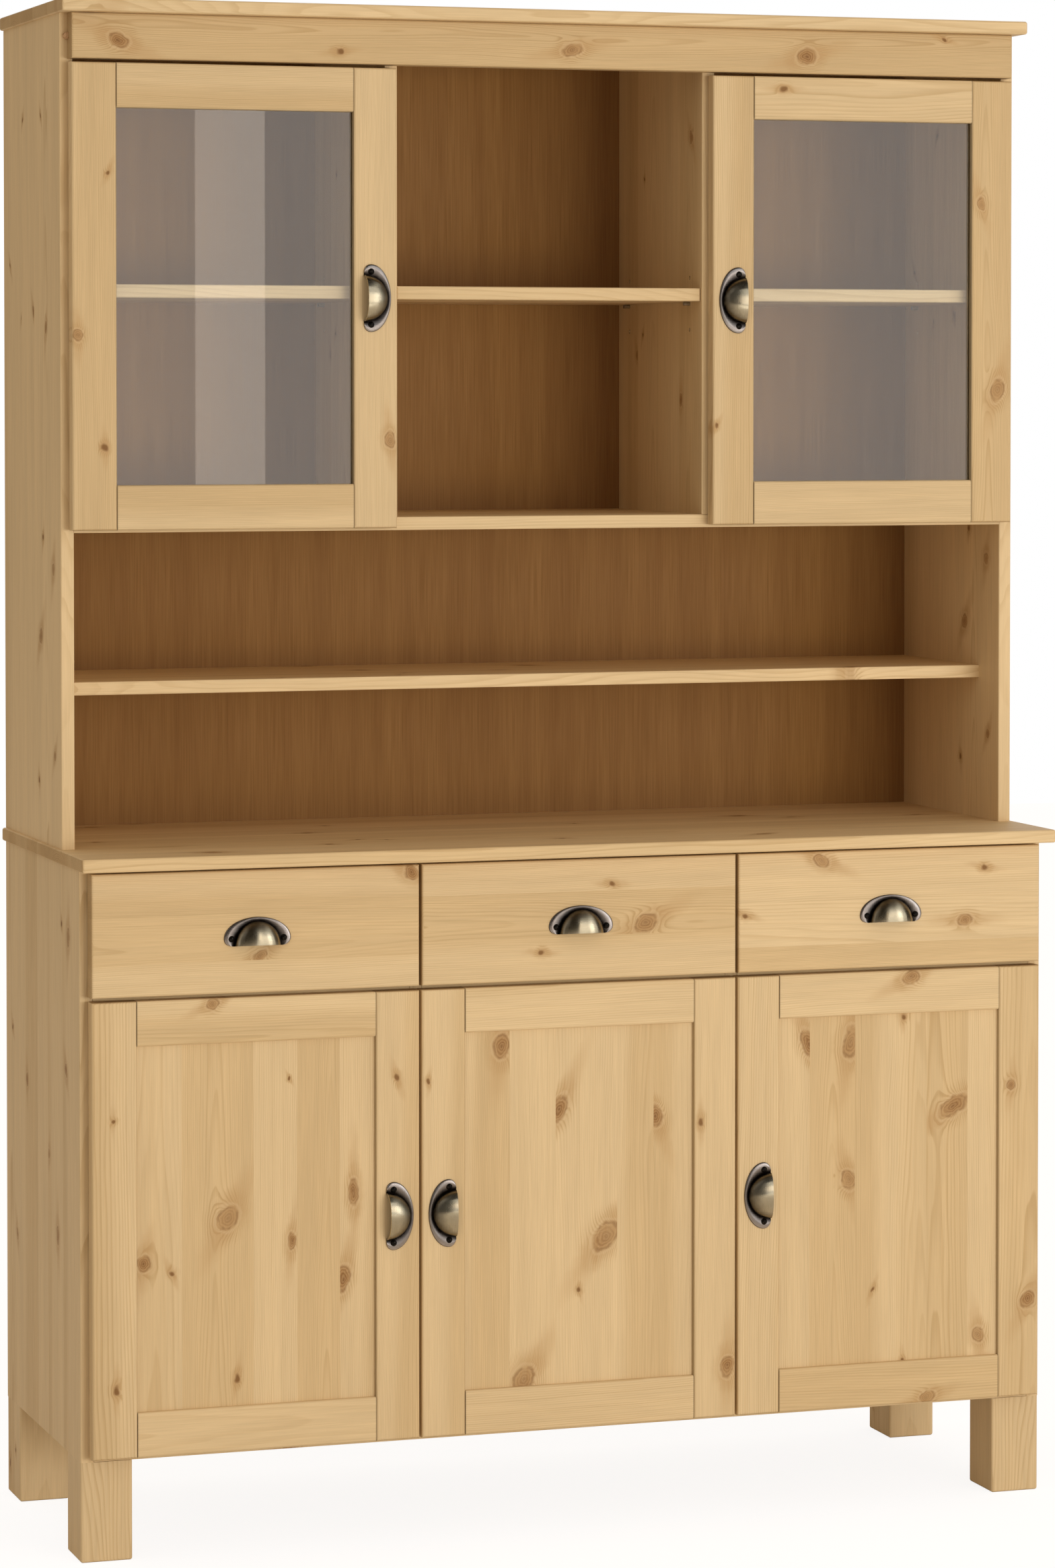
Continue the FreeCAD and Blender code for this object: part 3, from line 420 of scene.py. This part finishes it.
def pineBoard(spec):
    # a board's own pine: sap or heart wood times late wood, strip tint, fibre and drift, and then the knots
    look, name = pineLook, spec["node"]
    box = [np.array(c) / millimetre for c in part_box(name)]
    draw = np.random.default_rng(spec["seed"])
    made, tree, shader = startMaterial("pine_" + name)
    parts = put(tree, "ShaderNodeSeparateXYZ", {0: placeMm(tree)}).node.outputs
    normal = put(tree, "ShaderNodeTexCoord", out="Normal")
    normals = put(tree, "ShaderNodeSeparateXYZ", {0: normal}).node.outputs
    local, face, endOn, strips = grainRun(tree, parts, normals, spec["grain"], box, spec, draw)
    runs = [strips]
    if "cross" in spec:  # the pieces that lie between the two limits have their grain the other way
        cross = spec["cross"]
        turned = grainRun(tree, parts, normals, cross["grain"], box, spec, draw)
        runs.append(turned[3])
        place = parts[axisOf[cross["axis"]]]
        above = put(tree, mathNode, {0: place, 1: cross["from"]}, operation="GREATER_THAN")
        below = put(tree, mathNode, {0: place, 1: cross["to"]}, operation="LESS_THAN")
        inside = put(tree, mathNode, {0: above, 1: below}, operation="MULTIPLY")
        local = put(tree, mixNode, {0: inside, 4: local, 5: turned[0]}, **asVector)
        face = put(tree, mixNode, {0: inside, 4: face, 5: turned[1]}, **asVector)
        endOn = put(tree, mixNode, {0: inside, 2: endOn, 3: turned[2]})
        sides = [apart(tree, place, cross[k]) for k in ("from", "to")]
        joint = put(tree, mathNode, {0: sides[0], 1: sides[1]}, operation="MINIMUM")
        joint = put(tree, rangeNode, {0: joint, **ramp(look["jointMm"], look["jointShade"])})
    tone = put(tree, "ShaderNodeSeparateXYZ", {0: face}, out=2)

    knots = list(spec.get("knots", ()))
    if "knots" not in spec or "more" in spec:
        knots += scatterKnots(spec, box, draw)
    near, trail, swell = knotField(tree, face, knots, runs, draw)
    nearest = put(tree, mathNode, {0: near["knot"], 1: near["pin"]}, operation="MINIMUM")
    halo = put(tree, rangeNode, {0: nearest, **ramp(*knotLook["haloRamp"])}, **smooth)

    late, inner = growthRings(tree, local, tone, swell)
    crowd = put(tree, rangeNode, {0: halo, **ramp(whole, knotLook["haloLate"])})  # rings darken round a knot
    late = put(tree, mathNode, {0: late, 1: crowd}, operation="MULTIPLY")
    fibre = patches(tree, local, look["fibreMm"], Detail=3.0)
    drift = patches(tree, local, look["driftMm"], Detail=2.0)
    colour = put(tree, mixNode, {0: inner, 6: linear(look["sap"]), 7: linear(look["heart"])}, **asColour)
    for share, start, end in ((late, (1.0, 1.0, 1.0), look["lateTint"]),
                              (tone, look["paleStrip"], look["deepStrip"])):
        tint = put(tree, mixNode, {0: share, 4: start, 5: end}, **asVector)
        colour = put(tree, vectorNode, {0: colour, 1: tint}, operation="MULTIPLY")
    shade = spec.get("tone", 1.0)
    for pattern, ends in ((fibre, look["fibreShade"]), (drift, look["driftShade"])):
        step = put(tree, rangeNode, {0: pattern, **ramp(noiseSpan, ends)})
        shade = put(tree, mathNode, {0: step, 1: shade}, operation="MULTIPLY")
    colour = put(tree, vectorNode, {0: colour, "Scale": shade}, operation="SCALE")
    colour = paintKnots(tree, colour, face, fibre, near, trail, halo)
    if "cross" in spec:  # the fine joint line where two pieces meet
        colour = put(tree, vectorNode, {0: colour, "Scale": joint}, operation="SCALE")

    # sawn ends soak up the lacquer and look darker, greyer and duller
    endOn = put(tree, mathNode, {0: endOn}, operation="ABSOLUTE")
    endOn = put(tree, rangeNode, {0: endOn, **ramp(look["endSpan"], whole)}, **smooth)
    ends = put(tree, vectorNode, {0: colour, 1: look["endTint"]}, operation="MULTIPLY")
    colour = put(tree, mixNode, {0: endOn, 6: colour, 7: ends}, **asColour)
    gloss = put(tree, rangeNode, {0: fibre, **ramp(noiseSpan, look["roughness"])})
    gloss = put(tree, mathNode, {0: endOn, 1: look["endRoughness"], 2: gloss}, operation="MULTIPLY_ADD")
    height = put(tree, mathNode, {0: late, 1: look["lateHeight"], 2: fibre}, operation="MULTIPLY_ADD")
    bump = put(tree, "ShaderNodeBump", {"Height": height, "Strength": look["bump"],
                                        "Distance": look["bumpMm"] * millimetre})
    feed(shader, {"Base Color": colour, "Roughness": gloss, "Normal": bump,
                  "Specular IOR Level": look["specular"]})
    wear(name, made)


# boards: grain gives the directions along, across and through; pair is the thickness of two boards that face
# each other; knots are (along, across, radius, slant, stretch) where the photograph shows them, in mm
boards = [
    dict(node="base_worktop", grain="xyz", tone=1.04),
    dict(node="base_sides", grain="zyx", pair=16.0, more=2,
         knots=[(585, 183, 4), (531, 103, 6), (569, -110, 6), (457, -18, 5), (331, 160, 5), (366, -64, 7)]),
    dict(node="base_bottom", grain="xyz"),
    dict(node="base_partitions", grain="zyx", pair=16.0),
    dict(node="base_cross_rails", grain="xyz"),
    dict(node="base_shelves", grain="xyz"),
    dict(node="legs", grain="zyx", pair=62.0, tone=0.97, knots=[(38, 205, 4), (60, 175, 3)]),
    dict(node="hutch_top", grain="xyz"),
    dict(node="hutch_sides", grain="zyx", pair=16.0, more=3, tone=1.03,
         knots=[(1461, 120, 3), (1445, -14, 5), (1699, 12, 3), (1699, 112, 3), (1158, -50, 7), (1194, 4, 4),
                (937, -56, 5), (902, 29, 4)]),
    dict(node="hutch_floor", grain="xyz"),
    dict(node="hutch_dividers", grain="zyx", pair=16.0, tone=0.96),
    dict(node="hutch_plate_shelf", grain="xyz", tone=1.07),
    dict(node="hutch_shelves", grain="xyz"),
    dict(node="hutch_frieze", grain="xzy", cuts=[], tone=0.93,
         knots=[(-544, 1782, 9), (20, 1783, 8), (325, 1781, 10), (-274, 1774, 4), (509, 1806, 3)]),
    dict(node="lower_left_door_panel", grain="zxy", cuts=[-492, -405, -352, -300],
         knots=[(399, -436, 12, 28, 1.25), (337, -504, 4), (368, -358, 5, 5, 2.2), (319, -296, 8, 14, 2.0),
                (209, -425, 4), (422, -282, 6, 0, 2.6), (351, -537, 8, 10, 1.2), (560, -361, 2)]),
    dict(node="lower_middle_door_panel", grain="zxy", cuts=[-88, -30, 48, 94],
         knots=[(587, -98, 10, 8, 1.5), (185, -70, 13, 35, 1.3), (494, 97, 9, -20, 1.5),
                (352, 34, 13, 38, 1.5), (289, 1, 3), (508, -26, 9, 25, 2.0)]),
    dict(node="lower_right_door_panel", grain="zxy", cuts=[297, 357, 401, 452, 507],
         knots=[(601, 421, 4, 0, 1.1), (573, 352, 10, 10, 1.9), (573, 297, 9, -20, 1.9),
                (488, 488, 11, 58, 1.9), (404, 349, 9, -14, 1.3), (266, 381, 3), (203, 522, 8, -10, 1.2),
                (176, 421, 3)]),
    dict(node="left_drawer_front", grain="xzy", cuts=[702, 757], knots=[(-398, 707, 7), (-212, 799, 8)]),
    dict(node="middle_drawer_front", grain="xzy", cuts=[716, 770],
         knots=[(39, 778, 4), (83, 729, 10), (-49, 698, 4)]),
    dict(node="right_drawer_front", grain="xzy", cuts=[694, 748],
         knots=[(500, 719, 7), (212, 734, 4), (527, 783, 4), (311, 797, 7)]),
]
doorFrame = dict(stileMm=54.0, railMm=53.0, upperTone=0.94, lowerTone=1.0)
doorKnots = dict(
    lower_left=[(555, -230, 4), (520, -575, 3), (205, -572, 4), (-456, 653, 6)],
    lower_middle=[(550, -191, 3), (185, 188, 9), (485, 154, 4)],
    lower_right=[(429, 650, 8), (512, 563, 6), (244, 586, 9), (451, 131, 7)],
    upper_left=[(1435, -594, 6), (1627, -557, 3), (1303, -562, 4), (1311, -211, 6)],
    upper_right=[(295, 1741, 4), (1603, 559, 6), (1371, 581, 9), (1327, 207, 3)])
for door, knots in doorKnots.items():
    node = door + "_door_frame"
    low, high = (np.array(c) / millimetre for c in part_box(node))
    left, right = low[0] + doorFrame["stileMm"], high[0] - doorFrame["stileMm"]
    bottom, top = low[2] + doorFrame["railMm"], high[2] - doorFrame["railMm"]
    rails = {"axis": "x", "from": left, "to": right, "grain": "xzy", "cuts": [bottom, top]}
    tone = doorFrame["upperTone" if door.startswith("upper") else "lowerTone"]
    boards.append(dict(node=node, grain="zxy", knots=knots, cuts=[left, right], cross=rails, tone=tone))
drawerBox = dict(wallMm=12.0, slackMm=0.1, beyondMm=1.0)  # the grain of the back runs across the box
for drawer in ("left", "middle", "right"):
    node = drawer + "_drawer_box"
    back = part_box(node)[1][1] / millimetre
    boards.append(dict(node=node, grain="yzx", pair=drawerBox["wallMm"],
                       cross={"axis": "y", "from": back - drawerBox["wallMm"] - drawerBox["slackMm"],
                              "to": back + drawerBox["beyondMm"], "grain": "xzy"}))
firstSeed = 40
for number, board in enumerate(boards):
    board["seed"] = firstSeed + number
    pineBoard(board)
print("pine boards:", len(boards))

# brown veneered board of the backs: thin, flat, with long fine streaks that run upright
backLook = dict(light="#9A7039", dark="#8C622D", streak="#6E4A20", bandMm=(24, 24, 700),
                streakMm=(1.7, 1.7, 90), streakRamp=((0.36, 0.74), (0.0, 0.42)), roughness=(0.55, 0.8),
                bump=0.3, bumpMm=-0.2)
made, tree, shader = startMaterial("brown_veneer_board")
place = placeMm(tree)
bands = patches(tree, place, backLook["bandMm"], Detail=3.0)
bands = put(tree, rangeNode, {0: bands, **ramp(noiseSpan, whole)})
browns = {6: linear(backLook["light"]), 7: linear(backLook["dark"])}
colour = put(tree, mixNode, {0: bands, **browns}, **asColour)
streaks = patches(tree, place, backLook["streakMm"], Detail=2.0)
streaks = put(tree, rangeNode, {0: streaks, **ramp(*backLook["streakRamp"])})
colour = put(tree, mixNode, {0: streaks, 6: colour, 7: linear(backLook["streak"])}, **asColour)
rough = put(tree, rangeNode, {0: streaks, **ramp(whole, backLook["roughness"])})
bump = put(tree, "ShaderNodeBump", {"Height": streaks, "Strength": backLook["bump"],
                                    "Distance": backLook["bumpMm"] * millimetre})
feed(shader, {"Base Color": colour, "Roughness": rough, "Normal": bump})
wear("back_panels", made)

# bare birch plywood of the drawer bottoms: pale, with broad soft figure
plyLook = dict(light="#DDC59D", dark="#C6A674", figureMm=(30, 260, 30), swirl=0.8, roughness=(0.52, 0.72),
               bump=0.15, bumpMm=0.3)
made, tree, shader = startMaterial("birch_plywood")
figure = patches(tree, placeMm(tree), plyLook["figureMm"], Detail=4.0, Distortion=plyLook["swirl"])
share = put(tree, rangeNode, {0: figure, **ramp(noiseSpan, whole)})
tans = {6: linear(plyLook["light"]), 7: linear(plyLook["dark"])}
colour = put(tree, mixNode, {0: share, **tans}, **asColour)
rough = put(tree, rangeNode, {0: figure, **ramp(whole, plyLook["roughness"])})
bump = put(tree, "ShaderNodeBump", {"Height": figure, "Strength": plyLook["bump"],
                                    "Distance": plyLook["bumpMm"] * millimetre})
feed(shader, {"Base Color": colour, "Roughness": rough, "Normal": bump})
for drawer in ("left", "middle", "right"):
    wear(drawer + "_drawer_bottom", made)

# bare beech of runners and dowels: pinkish tan with many short darker flecks
beechLook = dict(light="#CDA67C", dark="#A97C50", fleckMm=(1.5, 9, 1.5), fleckSpan=(0.45, 0.7),
                 roughness=(0.55, 0.7), bump=0.2, bumpMm=-0.2)
made, tree, shader = startMaterial("bare_beech")
flecks = patches(tree, placeMm(tree), beechLook["fleckMm"], Detail=2.0)
flecks = put(tree, rangeNode, {0: flecks, **ramp(beechLook["fleckSpan"], whole)})
tans = {6: linear(beechLook["light"]), 7: linear(beechLook["dark"])}
colour = put(tree, mixNode, {0: flecks, **tans}, **asColour)
rough = put(tree, rangeNode, {0: flecks, **ramp(whole, beechLook["roughness"])})
bump = put(tree, "ShaderNodeBump", {"Height": flecks, "Strength": beechLook["bump"],
                                    "Distance": beechLook["bumpMm"] * millimetre})
feed(shader, {"Base Color": colour, "Roughness": rough, "Normal": bump})
wear("drawer_runners", made)
wear("dowels", made)

# clear float glass: faint grey-green body and sharp reflections; lamps shine through it
glassLook = dict(body="#FDFEFD", lets="#FBFCFB", bends=1.52)
made, tree, shader = startMaterial("float_glass")
feed(shader, {"Base Color": linear(glassLook["body"]), "Roughness": 0.0, "IOR": glassLook["bends"],
              "Transmission Weight": 1.0})
clear = put(tree, "ShaderNodeBsdfTransparent", {0: linear(glassLook["lets"])})
shadow = put(tree, "ShaderNodeLightPath", out="Is Shadow Ray")
surface = put(tree, "ShaderNodeMixShader", {0: shadow, 1: shader.outputs[0], 2: clear})
feed(tree.nodes["Material Output"], {"Surface": surface})
wear("upper_left_door_glass", made)
wear("upper_right_door_glass", made)

# nickel plated steel of hinges and shelf pins: bright, slightly smudged
steelLook = dict(light="#CBC8C2", dark="#A29F99", smudgeMm=(14, 14, 14), roughness=(0.21, 0.39))
made, tree, shader = startMaterial("nickel_plated_steel")
smudge = patches(tree, placeMm(tree), steelLook["smudgeMm"], Detail=3.0)
greys = {6: linear(steelLook["light"]), 7: linear(steelLook["dark"])}
colour = put(tree, mixNode, {0: smudge, **greys}, **asColour)
rough = put(tree, rangeNode, {0: smudge, **ramp(noiseSpan, steelLook["roughness"])})
feed(shader, {"Base Color": colour, "Metallic": 1.0, "Roughness": rough})
for node in nodes:
    if node.endswith("hinge_cups") or node in ("hinge_arms", "hinge_plates", "shelf_pins"):
        wear(node, made)

# blackened steel of the pull screws: near black with worn, slightly browner patches
screwLook = dict(black="#171513", worn="#332C25", wornMm=(2.5, 2.5, 2.5), wornSpan=(0.4, 0.7),
                 roughness=(0.4, 0.28), metallic=0.8)
made, tree, shader = startMaterial("blackened_steel")
worn = patches(tree, placeMm(tree), screwLook["wornMm"], Detail=3.0)
worn = put(tree, rangeNode, {0: worn, **ramp(screwLook["wornSpan"], whole)})
blacks = {6: linear(screwLook["black"]), 7: linear(screwLook["worn"])}
colour = put(tree, mixNode, {0: worn, **blacks}, **asColour)
rough = put(tree, rangeNode, {0: worn, **ramp(whole, screwLook["roughness"])})
feed(shader, {"Base Color": colour, "Metallic": screwLook["metallic"], "Roughness": rough})
for node in nodes:
    if node.endswith("pull_screws"):
        wear(node, made)
print("other materials ready")

# antique brass of the cup pulls: brushed grey-gold on raised parts, brown-black where polish never reaches;
# the same dark is painted shade towards the crown, and the lip is left bright as a painted highlight
brassLook = dict(bright="#D2C8B0", warm="#ADA082", plate="#BDB4AE", dark="#231C17", roughness=(0.24, 0.5),
                 brushMm=100.0, strokes=(3.0, 260.0, 0.0),  # in 100 mm: 0.4 mm wide, coarse enough to show
                 blotMm=(7, 7, 7), blotBy=(-0.07, 0.07), brushed=0.8, across=0.25, bump=0.12, bumpMm=0.1)
brass, tree, shader = startMaterial("antique_brass")
strokes = put(tree, "ShaderNodeUVMap", uv_map="brush")
strokes = put(tree, vectorNode, {0: strokes, 1: brassLook["strokes"]}, operation="MULTIPLY")
strokes = put(tree, noiseNode, {"Vector": strokes, "Scale": 1.0, "Detail": 2.0})
blot = patches(tree, placeMm(tree), brassLook["blotMm"], Detail=4.0)
blot = put(tree, rangeNode, {0: blot, **ramp(noiseSpan, brassLook["blotBy"])})
# the dark mark: patina in the hollows, painted shade towards the crown and a painted highlight on the lip
patinaAndPaintedLight = put(tree, "ShaderNodeAttribute", out="Fac", attribute_name="patinaAndPaintedLight")
patinaAndPaintedLight = put(tree, mathNode, {0: patinaAndPaintedLight, 1: blot}, operation="ADD", use_clamp=True)
dome = put(tree, "ShaderNodeAttribute", out="Fac", attribute_name="dome")
golds = {6: linear(brassLook["bright"]), 7: linear(brassLook["warm"])}
colour = put(tree, mixNode, {0: strokes, **golds}, **asColour)
colour = put(tree, mixNode, {0: dome, 6: linear(brassLook["plate"]), 7: colour}, **asColour)
colour = put(tree, mixNode, {0: patinaAndPaintedLight, 6: colour, 7: linear(brassLook["dark"])}, **asColour)
rough = put(tree, rangeNode, {0: patinaAndPaintedLight, **ramp(whole, brassLook["roughness"])})
bump = put(tree, "ShaderNodeBump", {"Height": strokes, "Strength": brassLook["bump"],
                                    "Distance": brassLook["bumpMm"] * millimetre})
tangent = put(tree, "ShaderNodeTangent", direction_type="UV_MAP", uv_map="brush")
feed(shader, {"Base Color": colour, "Metallic": 1.0, "Roughness": rough, "Normal": bump, "Tangent": tangent,
              "Anisotropic": brassLook["brushed"], "Anisotropic Rotation": brassLook["across"]})

# a cup pull, in millimetres: a profile carried along the outline of the plate
pullForm = dict(
    earRise=9.0, earRadius=8.5, domeHalf=28.0, domeTop=29.4, fullness=2.25, wall=1.7, plateEdge=2.0,
    plateCrown=0.6, crease=1.2, lipLift=2.0, earSteps=10, crownSteps=72, domeSteps=20, weldMm=0.01, sharp=42,
    crownShade=0.4, fade=(0.42, 0.2), fadeStart=1.15, inside=0.85, lip=0.15)  # patina with painted shade at the crown and a painted highlight on the lip, from 0 bright to 1 dark


def cupPull(node, body, turn):
    # each profile starts at the plate's outer edge, crosses the slightly rounded plate to the crease, climbs
    # the dome to its front point as a quarter of a full ellipse, height (1 - reach^fullness)^(1 / fullness),
    # and comes back inside the wall; the two end profiles close the mouth, whose lip is lifted to the front
    form = pullForm
    low, high = (np.array(c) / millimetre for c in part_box(node))
    wide, tall = (2, 0) if turn else (0, 2)
    half, crown, proud = (high[wide] - low[wide]) / 2, high[tall] - low[tall], high[1] - low[1]

    # outline of the plate: a round ear, half an ellipse over the crown, a round ear; the dome's foot follows
    ear = np.linspace(-math.pi / 2, 0, form["earSteps"], endpoint=False)
    rise = np.linspace(0, math.pi, form["crownSteps"])
    earX = half - form["earRadius"] + form["earRadius"] * np.cos(ear)
    earZ = form["earRise"] + form["earRadius"] * np.sin(ear)
    plateX = np.concatenate((earX, half * np.cos(rise), -earX[::-1]))
    plateZ = np.concatenate((earZ, form["earRise"] + (crown - form["earRise"]) * np.sin(rise), earZ[::-1]))
    bearing = np.arctan2(plateZ, plateX)
    bearing = (bearing - bearing[0]) / (bearing[-1] - bearing[0]) * math.pi
    footX, footZ = form["domeHalf"] * np.cos(bearing), form["domeTop"] * np.sin(bearing)

    # stations across the plate: share of the way to the dome, height, patina
    edge, bulge, dip = form["plateEdge"], form["plateCrown"], form["crease"]
    plate = [(0.0, 0.0, 0.9), (0.0, edge * 0.5, 0.85), (0.03, edge * 0.85, 0.45), (0.075, edge, 0.0),
             (0.14, edge + bulge * 0.4, 0.05), (0.3, edge + bulge, 0.15), (0.45, edge + bulge * 0.95, 0.3),
             (0.6, edge + bulge * 0.3, 0.5), (0.76, edge - 0.3, 0.8), (0.9, dip + 0.1, 1.0),
             (1.0, dip, 1.0)]
    crownShade = form["crownShade"] * np.sin(bearing) ** 2             # painted shade: darker towards the crown
    fade = form["fade"][0] + form["fade"][1] * np.sin(bearing)   # how far up the dome the crease's dark reaches: patina, reaching farther at the crown as painted shade
    rows = [(plateX + (footX - plateX) * share, np.full_like(plateX, height),
             plateZ + (footZ - plateZ) * share, mark + (1 - mark) * crownShade) for share, height, mark in plate]

    # the dome outside, from foot to front point, and back inside its wall
    climb = np.linspace(0, 1, form["domeSteps"] + 1)[1:]
    inward = np.append(climb[::-1], 0.0)
    power, wall = form["fullness"], form["wall"]
    reach, innerReach = np.cos(climb * math.pi / 2), np.cos(inward * math.pi / 2)
    swell, innerSwell = ((1 - r ** power) ** (1 / power) for r in (reach, innerReach))
    domeRows = [(footX * r, np.full_like(footX, dip + (proud - dip) * s), footZ * r,
                 np.clip(form["fadeStart"] - c / fade, 0, 1)) for r, s, c in zip(reach, swell, climb)]
    shrinkX, shrinkZ = 1 - wall / form["domeHalf"], 1 - wall / form["domeTop"]
    domeRows += [(footX * shrinkX * r, np.full_like(footX, (proud - wall) * s), footZ * shrinkZ * r,
                  np.full_like(footX, form["inside"])) for r, s in zip(innerReach, innerSwell)]
    lift = form["lipLift"] / proud
    rows += [(x, out, z + lift * out * (1 - z / form["domeTop"]), mark) for x, out, z, mark in domeRows]

    count, around = len(plateX), len(rows)
    local = np.stack([np.stack(row[:3], axis=1) for row in rows], axis=1)  # path, station, (x, out, z)
    marks = np.stack([row[3] for row in rows], axis=1)
    marks[[0, -1], len(plate):] *= form["lip"]                   # painted highlight: the lip keeps little of the dark and shows as a bright line
    domes = np.tile((np.arange(around) >= len(plate)).astype(float), count)
    flat = local.reshape(-1, 3)
    spot = np.zeros((len(flat), 3))
    middle = (low[wide] + high[wide]) / 2
    if turn:  # on a door the pull stands upright, with its mouth to the hinged side
        sine = math.sin(math.radians(turn))
        start = low[0] if turn > 0 else high[0]
        spot[:, 0], spot[:, 2] = start + sine * flat[:, 2], middle - sine * flat[:, 0]
    else:
        spot[:, 0], spot[:, 2] = middle + flat[:, 0], low[2] + flat[:, 2]
    spot[:, 1] = high[1] - flat[:, 1]
    i, j = np.meshgrid(np.arange(count - 1), np.arange(around), indexing="ij")
    k = (j + 1) % around
    faces = np.stack((i * around + j, i * around + k, (i + 1) * around + k, (i + 1) * around + j), axis=-1)
    faces = faces.reshape(-1, 4).tolist()
    faces += [list(range(around)), list(range((count - 1) * around, count * around))]

    mesh = bpy.data.meshes.new(node + "_cup")
    mesh.from_pydata((spot * millimetre).tolist(), [], faces)
    mesh.attributes.new("patinaAndPaintedLight", "FLOAT", "POINT").data.foreach_set("value", marks.ravel())
    mesh.attributes.new("dome", "FLOAT", "POINT").data.foreach_set("value", domes)
    corners = np.empty(len(mesh.loops), dtype=np.int32)
    mesh.loops.foreach_get("vertex_index", corners)
    brush = flat[corners][:, [0, 2]] / brassLook["brushMm"]
    mesh.uv_layers.new(name="brush").data.foreach_set("uv", brush.ravel())
    work = bmesh.new()
    work.from_mesh(mesh)
    bmesh.ops.remove_doubles(work, verts=work.verts, dist=form["weldMm"] * millimetre)
    bmesh.ops.recalc_face_normals(work, faces=work.faces)
    work.to_mesh(mesh)
    work.free()
    mesh.shade_smooth()
    mesh.set_sharp_from_angle(angle=math.radians(form["sharp"]))
    mesh.materials.append(brass)
    cup = bpy.data.objects.new(node + "_cup", mesh)
    bpy.context.collection.objects.link(cup)
    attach(cup, body)
    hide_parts(node)


for drawer in ("left", "middle", "right"):
    cupPull(drawer + "_drawer_pull", drawer + "_drawer", 0)
doorTurns = dict(lower_left=90, lower_middle=-90, lower_right=-90, upper_left=90, upper_right=-90)
for door, turn in doorTurns.items():
    cupPull(door + "_door_pull", door + "_door", turn)
print("cup pulls ready")
